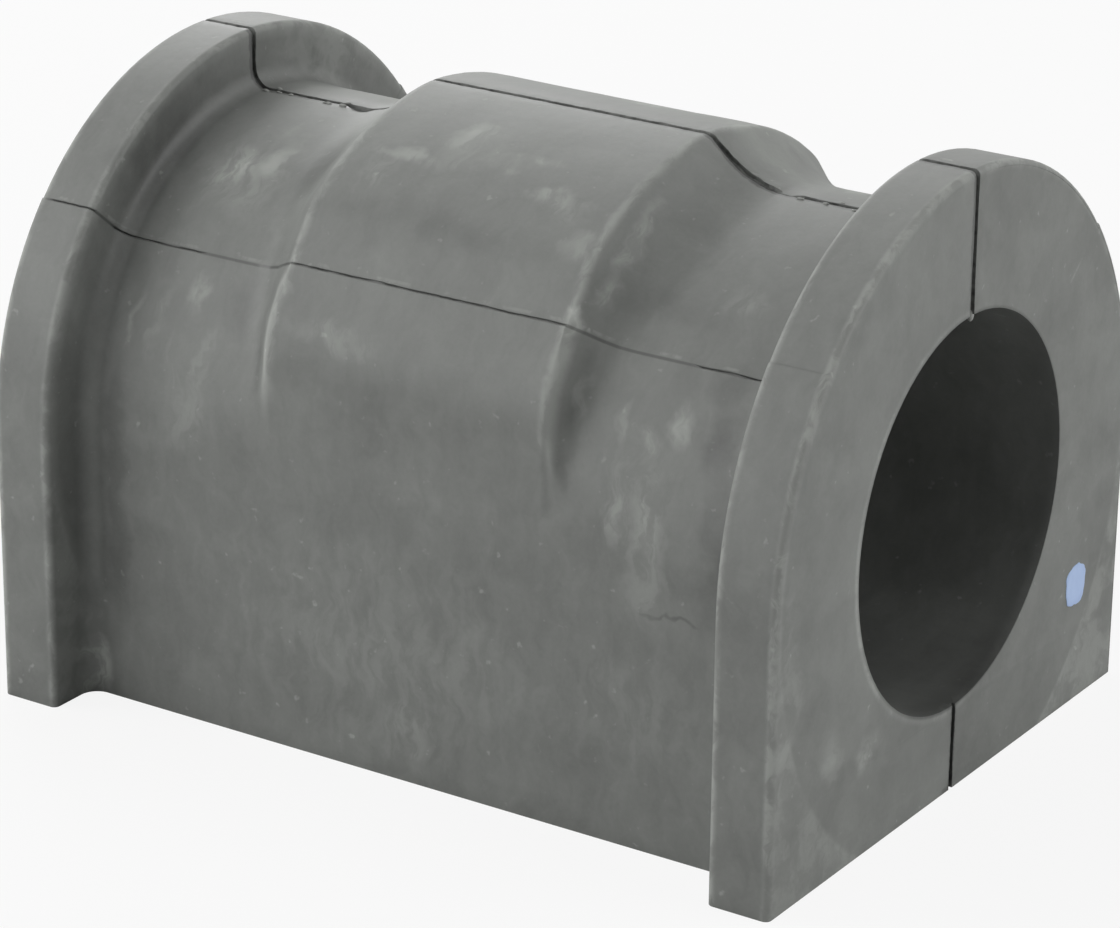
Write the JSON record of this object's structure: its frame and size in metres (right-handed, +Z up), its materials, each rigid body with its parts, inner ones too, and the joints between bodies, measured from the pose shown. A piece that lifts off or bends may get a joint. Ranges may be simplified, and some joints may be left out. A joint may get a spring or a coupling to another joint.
{
  "type": "stabilizer bushing",
  "caption": "Long D-shaped rubber bushing for a stabilizer bar, split lengthwise into equal half shells, with end flanges, a raised middle band and a flat base.",
  "frame": {"origin": "on the bore axis, halfway along the bushing", "axes": "+X along the bore towards the end with the paint dot, +Z up and away from the flat base, split face at Y = 0"},
  "size_m": [0.068, 0.0522, 0.0475],
  "materials": {
    "grey_rubber": "mid grey moulded rubber, satin, with pale release dust"
  },
  "bodies": {
    "root": {"front_half_shell": "grey_rubber", "rear_half_shell": "grey_rubber"}
  },
  "joints": []
}
